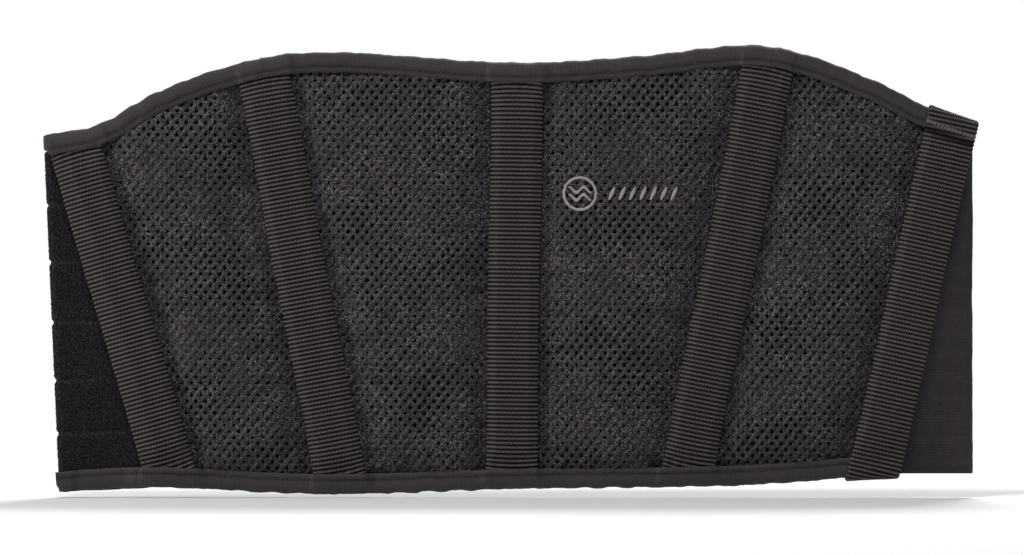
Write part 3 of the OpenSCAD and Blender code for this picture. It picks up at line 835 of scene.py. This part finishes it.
def rib_height(up, arc):
    """The elastic's fine lengthwise ribs, and its tone: painted shade between the ribs, with narrow lighter
    bands.
    """
    rib = np.abs(np.sin(math.pi * up / 1.6))
    band = 0.5 + 0.5 * np.sin(2 * math.pi * up / 25.0) ** 8
    return (0.10 * rib + 0.05 * FINE(arc, up) + 0.25 * WRINKLE(arc, up),
            np.clip((0.25 + 0.6 * rib) * (0.75 + 0.5 * band) - 0.15, 0, 1))


def wing_piece(name, fold, mirror, start, seam, up, relief, material, cols, back_t, second=None):
    """A wing's sheet from its tab round the fold to the seam, or a plain stretch if start is a number."""
    rows = len(up)
    if np.isscalar(start):
        path = past_fold(np.broadcast_to(np.linspace(start, seam, cols[0]), (rows, cols[0])))
    else:
        tab = start[:, None] * (1 - np.linspace(0, 1, cols[0])[:-1])
        turn = np.linspace(0, math.pi, cols[1])[:-1]
        root = np.broadcast_to(np.linspace(0, seam, cols[2]), (rows, cols[2]))
        path = round_fold(tab, np.broadcast_to(turn, (rows, len(turn))), root)
    along, y, oa, oy, arc = path
    U = np.broadcast_to(up[:, None], along.shape)
    h, tone = relief(U, arc)
    lift = WING_T / 2 - back_t + h
    front = fold_point(fold, mirror, along + oa * lift, y + oy * lift, U)
    back = fold_point(fold, mirror, along - oa * WING_T / 2, y - oy * WING_T / 2, U)
    verts, faces = closed_sheet(front, back, flip=mirror < 0)
    cells = (front.shape[0] - 1) * (front.shape[1] - 1)
    tone = np.concatenate([tone.ravel(), np.full(tone.size, 0.4)])
    return make_object(name, verts, faces, material, tone, second,
                       range(cells, 2 * cells) if second else None, sharp=62)


def steps(start, end):
    """Distances from start to end, about three to each rib of the tape."""
    return np.arange(start, end + 1e-6, (end - start) / round((end - start) / (TAPE_RIB / 3)))


def wing_tape(name, fold, mirror, up_mid, start, seam, turn):
    """Binding along a wing's edge: a flattened tube with fine ribs, round the fold if turn is set."""
    cols, width = 14, 9.0
    if turn:
        tab, a = np.linspace(start, 0, 6)[:-1], np.linspace(0, math.pi, 40)[:-1]
        along, y, oa, oy, arc = round_fold(tab, a, steps(0, seam))
    else:
        along, y, oa, oy, arc = past_fold(steps(start, seam))
    grain = np.abs(np.sin(math.pi * arc / TAPE_RIB))
    puck = 0.16 * PUCKER(arc, up_mid) + 0.1 * np.sin(arc / 2.9)
    rows = []
    for _, across, out in oval(cols):
        lift = 1.05 * out + 0.12 * grain + 0.3 if out > 0 else 0.55 * out - 0.55
        rows.append(fold_point(fold, mirror, along + oa * lift, y + oy * lift,
                               up_mid + width / 2 * across + puck))
    # Painted shade between the tape's ribs: their crests are lighter.
    return make_object(name, np.stack(rows, 1).reshape(-1, 3), tube_faces(len(along), cols, mirror > 0),
                       MAT_BIND, np.repeat(0.25 + 0.75 * grain, cols))


# ---------------- making the pieces

def put(obj, bodies, replaces=()):
    """Joins a piece to its body, or only bakes its place when it is given two bodies, and hides the CAD parts
    it stands for.
    """
    if isinstance(bodies, str):
        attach(obj, bodies)
    else:
        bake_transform(obj)
    if replaces:
        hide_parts(*replaces)
    return obj


# Padded panel: each piece spans one bend, and the CAD's five segments are shared between them.
PANEL_NODES = (("left_side",), ("left_back",), ("centre", "right_back"), ("right_side",))
for k in range(4):
    pair = body_pair(k)
    for build, layer, slot in ((mesh_panel, "mesh", "spacer_mesh"), (foam_pad, "foam", "foam"),
                               (lining_pad, "lining", "lining")):
        piece = put(build(k), pair, [f"{layer}_{s}" for s in PANEL_NODES[k]])

for k in range(4):
    put(webbing(k), SEGMENTS[k], [f"webbing_{SEGMENTS[k]}"])
put(wrapped_webbing(), "right_side", ["webbing_right_side"])
for s in SEGMENTS:
    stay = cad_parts[f"stay_{s}"]
    stay.data.materials.clear()
    stay.data.materials.append(MAT_STAY)

# Bindings: cut at the strips' centre lines, so that each piece spans one bend.
for side, word, first_x in ((1, "top", -271.5), (-1, "bottom", -265.0)):
    cuts = []
    for k in range(1, 5):
        foot, up, _ = strip_axes(k)
        cuts.append(float(foot[0] + up[0] * strip_end(k, side)))
    cuts = [first_x, *cuts[:-1], cuts[-1] - 6]
    for k in range(4):
        nodes = [f"{word}_binding_{s}" for s in PANEL_NODES[k]]
        if side < 0 and k == 0:
            nodes.append("base_tape")
        tape, stitches = binding_piece(f"{word}_tape_{k}", side, cuts[k], cuts[k + 1])
        put(tape, body_pair(k), nodes)
        put(stitches, body_pair(k))


def fold_zone(fold):
    """Where a wing's cloth starts and ends to turn round its fold."""
    return tuple((fold[0] / 1000, y / 1000, 0) for y in (TAB_Y + WING_T / 2, WING_Y - WING_T / 2))


def bend_zone(fold, mirror, root, reach):
    """Where a wing's cloth starts and ends to curve at its bend."""
    return tuple(tuple(fold_point(fold, mirror, root + way * reach, WING_Y, 0.0) / 1000) for way in (-1, 1))


def wing(name, side, fold, mirror, start, reach, up, cols, zones, slot, nodes, **looks):
    """A wing's two sheets: one from its tab round the fold to the seam, and one to its end."""
    fold_nodes, tip_nodes = nodes
    sheet = put(wing_piece(f"{name}_fold", fold, mirror, start, WING_SEAM, up, cols=cols[:3], **looks),
                (f"{side}_side", f"{side}_wing", *zones[0]), fold_nodes)
    sheet = put(wing_piece(f"{name}_tip", fold, mirror, WING_SEAM, reach, up, cols=cols[3:], **looks),
                (f"{side}_wing", f"{side}_wing_end", *zones[1]), tip_nodes)


# Left wing: loop pile in six rows.
LEFT_UP = np.arange(ROW_EDGES[0] + 0.2, ROW_EDGES[-1] + 0.6, 0.85)
x0, z0, lean = LEFT_FOLD
gap = -(across_strip(0, x0 + LEFT_UP * math.sin(lean), z0 + LEFT_UP * math.cos(lean)) + HALF_WEB)
LEFT_START = np.maximum(gap / math.cos(strip_lean(0) - lean) + 4, 0.6)
left_zones = fold_zone(LEFT_FOLD), bend_zone(LEFT_FOLD, 1, LEFT_ROOT, 26)
wing("loop", "left", LEFT_FOLD, 1, LEFT_START, LEFT_REACH - 6, LEFT_UP, (52, 20, 52, 120), left_zones,
     "loop_pile", (["loop_base", "loop_wing"], ["loop_wing_end"]),
     relief=pile_height, material=MAT_PILE, back_t=1.0, second=MAT_PILE_BACK)
for word, mid in (("low", ROW_EDGES[0] - 4.4), ("high", ROW_EDGES[-1] + 4.6)):
    put(wing_tape(f"wing_tape_fold_{word}", LEFT_FOLD, 1, mid, 1.2, WING_SEAM, True),
        ("left_side", "left_wing", *left_zones[0]), ["wing_binding"])
    put(wing_tape(f"wing_tape_tip_{word}", LEFT_FOLD, 1, mid, WING_SEAM, LEFT_REACH, False),
        ("left_wing", "left_wing_end", *left_zones[1]), ["wing_end_binding"])


def end_tape():
    """Binding over the left wing's free end."""
    up = np.arange(ROW_EDGES[0] - 8.6, ROW_EDGES[-1] + 8.8, 0.39)
    grain = np.abs(np.sin(math.pi * up / TAPE_RIB))
    rows = []
    for _, across, out in oval(14):
        w = 5.2 * across + 0.16 * PUCKER(up, 3.0)
        o = 1.3 * out + 0.35 + 0.1 * grain if out > 0 else 0.75 * out - 0.6
        rows.append(fold_point(LEFT_FOLD, 1, LEFT_REACH - 5.0 + w, WING_Y + o, up))
    # Painted shade between the tape's ribs: their crests are lighter.
    return make_object("wing_tape_end", np.stack(rows, 1).reshape(-1, 3), tube_faces(len(up), 14), MAT_BIND,
                       np.repeat(0.25 + 0.75 * grain, 14))


put(end_tape(), "left_wing_end")

# Right wing: woven elastic with a hook patch.
RIGHT_UP = np.linspace(-ELASTIC_H / 2, ELASTIC_H / 2, 500)
edge = strip_line(4, RIGHT_FOLD[1] + RIGHT_UP) + HALF_WEB / math.cos(strip_lean(4))
RIGHT_START = np.maximum(RIGHT_FOLD[0] - edge + 4, 0.6)
right_zones = fold_zone(RIGHT_FOLD), bend_zone(RIGHT_FOLD, -1, RIGHT_ROOT, 22)
wing("elastic", "right", RIGHT_FOLD, -1, RIGHT_START, RIGHT_REACH - 5, RIGHT_UP, (24, 20, 26, 60),
     right_zones, "elastic", (["elastic_base", "elastic_wing"], ["elastic_wing_end"]),
     relief=rib_height, material=MAT_ELASTIC, back_t=0.12)


def hem():
    """Turned and stitched end of the elastic."""
    up = np.linspace(-ELASTIC_H / 2, ELASTIC_H / 2, 400)
    rows = []
    for a, across, out in oval(16, 0.45, 0.5):
        w = 4.7 * across + 0.15 * PUCKER(up, 7.0)
        o = 1.9 * out + 0.4 + 0.12 * PUCKER(up, a)
        rows.append(fold_point(RIGHT_FOLD, -1, RIGHT_REACH - 4.6 + w, WING_Y + o, up))
    return make_object("elastic_hem", np.stack(rows, 1).reshape(-1, 3), tube_faces(len(up), 16, True),
                       MAT_ELASTIC, np.full(len(up) * 16, 0.5))


put(hem(), "right_wing_end", ["elastic_end_hem"])


def hook_tape():
    """Hook tape on the wearer's side of the elastic: rows of small hooks on a plate."""
    wide, high, step = 55, 180, 0.62
    A, U = np.meshgrid(np.arange(0, wide + 0.01, step), np.arange(0, high + 0.01, step))
    edge = np.minimum(np.minimum(A, wide - A), np.minimum(U, high - U))
    rows = np.abs(np.sin(math.pi * A / (3 * step))) * np.abs(np.sin(math.pi * U / (3 * step)))
    studs = rows**1.5 * smooth((edge - 0.5) / 1)
    start = RIGHT_REACH - 11 - wide
    back = WING_Y - WING_T / 2
    hooks, plate = (fold_point(RIGHT_FOLD, -1, start + A, y, U - high / 2)
                    for y in (back - 0.55 - 0.85 * studs, back + 0.1))
    verts, faces = closed_sheet(hooks, plate, flip=True)
    # Painted shade: the plate between the hooks is darker than the hooks.
    return make_object("hook_tape", verts, faces, MAT_HOOK, np.concatenate([studs.ravel(), np.zeros(A.size)]))


put(hook_tape(), "right_wing_end", ["hook_patch"])


def seam_stitches(name, fold, mirror, lines, y, pitch=2.6, length=1.7):
    """Stitches along straight lines on a wing, each line from one (along, up) point to another."""
    starts, ends = [], []
    for (a0, u0), (a1, u1) in lines:
        run = math.hypot(a1 - a0, u1 - u0)
        for i in range(int(run / pitch)):
            for share, into in ((i * pitch / run, starts), ((i * pitch + length) / run, ends)):
                into.append(fold_point(fold, mirror, a0 + (a1 - a0) * share, y, u0 + (u1 - u0) * share))
    return stitch_mesh(name, starts, ends, (0, -1.0 if y < 0 else 1.0, 0), 0.2)


bottom = -ELASTIC_H / 2
put(seam_stitches("elastic_stitches", RIGHT_FOLD, -1, [((1.5, bottom + 3.2), (34.0, bottom + 3.2))],
                  TAB_Y - WING_T / 2 - 0.1), "right_side")
hem_lines = [((RIGHT_REACH - d, bottom + 2), (RIGHT_REACH - d, -bottom - 2)) for d in (7.6, 2.0)]
put(seam_stitches("hem_stitches", RIGHT_FOLD, -1, hem_lines, WING_Y + 2.3), "right_wing_end")
for word, up in (("low", ROW_EDGES[0] - 1.6), ("high", ROW_EDGES[-1] + 1.8)):
    for part, start, end, bodies in (
            ("root", 6.0, WING_SEAM, "left_wing"),
            ("tip", WING_SEAM, LEFT_REACH - 11.0, ("left_wing", "left_wing_end", *left_zones[1]))):
        put(seam_stitches(f"wing_stitches_{part}_{word}", LEFT_FOLD, 1, [((start, up), (end, up))],
                          WING_Y + 1.42), bodies)


# ---------------- embroidered mark

def threads(name, paths, width=0.42, rise=0.5):
    """Satin stitches laid side by side, each from one point (x, z) across a shape to another."""
    verts, tone, faces = [], [], []
    ring = 5
    stops = np.linspace(0, 1, 7)
    tube = tube_faces(len(stops), ring)
    for path in np.array(paths):
        along = (path[1] - path[0]) / max(np.linalg.norm(path[1] - path[0]), 1e-6)
        side = np.array((-along[1], along[0]))
        faces += [[len(verts) + i for i in f] for f in tube]
        for at in stops:
            x, z = path[0] + (path[1] - path[0]) * at
            arch = rise * math.sin(math.pi * min(max(at, 0.04), 0.96)) ** 0.5
            y = float(front_y(x, z)) - 0.35 - arch
            for r in range(ring):
                a = 2 * math.pi * r / ring
                w = width / 2 * math.cos(a)
                verts.append((x + side[0] * w, y - width / 2 * math.sin(a), z + side[1] * w))
                # Painted light: each thread is lighter on its outward side and darker on its flanks.
                tone.append(0.45 + 0.55 * max(math.sin(a), 0))
    return make_object(name, np.array(verts), faces, MAT_MARK, tone)


THREAD_PITCH = 0.36
MARK_Z = 50.0


def ring_paths():
    """Stitches of the mark's ring, and of the two waves inside it."""
    cx, cz = 37.5, MARK_Z
    paths = []
    for a in np.arange(0, 2 * math.pi, THREAD_PITCH / 9.3):
        lo, hi = 8.5 + 0.1 * math.sin(a * 13), 10.0 + 0.1 * math.cos(a * 17)
        paths.append([(cx + r * math.cos(b), cz + r * math.sin(b)) for r, b in ((lo, a), (hi, a + 0.03))])
    for x in np.arange(-6.6, 6.7, THREAD_PITCH):
        for level in (-2.2, 2.2):
            z = cz + level + 1.6 * math.sin(x * 0.75)
            half = 1.0 * (1 - (abs(x) / 7.4) ** 3)
            paths.append([(cx + x, z - half), (cx + x + 0.2, z + half)])
    return paths


def dash_paths():
    """Stitches of the row of seven slanting dashes beside the ring."""
    paths = []
    for cx in range(56, 93, 6):
        for z in np.arange(-3.6, 3.61, THREAD_PITCH):
            half = 1.15 * math.cos(z / 4.4 * math.pi / 2) ** 0.8
            x = cx + z * 0.42
            paths.append([(x - half, MARK_Z + z), (x + half, MARK_Z + z + 0.15)])
    return paths


put(threads("stitched_ring", ring_paths()), body_pair(2), ["emblem_ring"])
put(threads("stitched_dashes", dash_paths()), body_pair(2), ["emblem_dashes"])


# ---------------- floor, light and camera

FLOOR_Z = -126.0


def floor():
    """A round floor below the belt's lowest point in any pose."""
    n, radius = 96, 900.0
    turn = 2 * math.pi * np.arange(n) / n
    rim = np.stack([radius * np.cos(turn), radius * np.sin(turn), np.full(n, FLOOR_Z)], 1)
    faces = [[0, i + 1, (i + 1) % n + 1] for i in range(n)]
    return make_object("floor", np.concatenate([[(0, 0, FLOOR_Z)], rim]), faces, MAT_FLOOR)


floor()

# Round lights aimed at the belt: place and size in metres, power in watts.
for name, place, size, power in (
        ("key", (-0.35, -0.8, 1.9), 0.5, 19), ("side", (-2.0, -0.5, 0.45), 0.5, 20),
        ("fill", (1.5, -1.9, 0.5), 1.2, 3), ("back", (0.4, 1.4, 2.0), 1.0, 48)):
    light = bpy.data.lights.new(name, "AREA")
    light.shape = "DISK"
    light.size = size
    light.energy = power
    lamp = bpy.data.objects.new(name, light)
    lamp.location = place
    lamp.rotation_euler = (-Vector(place)).to_track_quat("-Z", "Y").to_euler()
    bpy.context.scene.collection.objects.link(lamp)

# The room is white to look at and gives a weaker, even light.
world = bpy.data.worlds.new("studio")
world.use_nodes = True
tree = world.node_tree
shown = tree.nodes["Background"]
shown.inputs["Color"].default_value = (1, 1, 1, 1)
given = tree.nodes.new("ShaderNodeBackground")
given.inputs["Color"].default_value = (0.97, 0.98, 1, 1)
given.inputs["Strength"].default_value = 0.2
path = tree.nodes.new("ShaderNodeLightPath")
either = tree.nodes.new("ShaderNodeMixShader")
tree.links.new(path.outputs["Is Camera Ray"], either.inputs[0])
tree.links.new(given.outputs[0], either.inputs[1])
tree.links.new(shown.outputs[0], either.inputs[2])
tree.links.new(either.outputs[0], tree.nodes["World Output"].inputs["Surface"])
bpy.context.scene.world = world
bpy.context.scene.view_settings.view_transform = "Standard"

DISTANCE, VIEW_WIDTH = 3.0, 0.5939       # metres
camera = bpy.data.cameras.new("camera")
camera.sensor_width = 36.0
camera.lens = 36.0 * DISTANCE / VIEW_WIDTH
camera.clip_end = 20
eye = bpy.data.objects.new("camera", camera)
eye.location = (-0.0017, -DISTANCE, 0.0015)
eye.rotation_euler = (math.pi / 2, 0, 0)
bpy.context.scene.collection.objects.link(eye)
bpy.context.scene.camera = eye
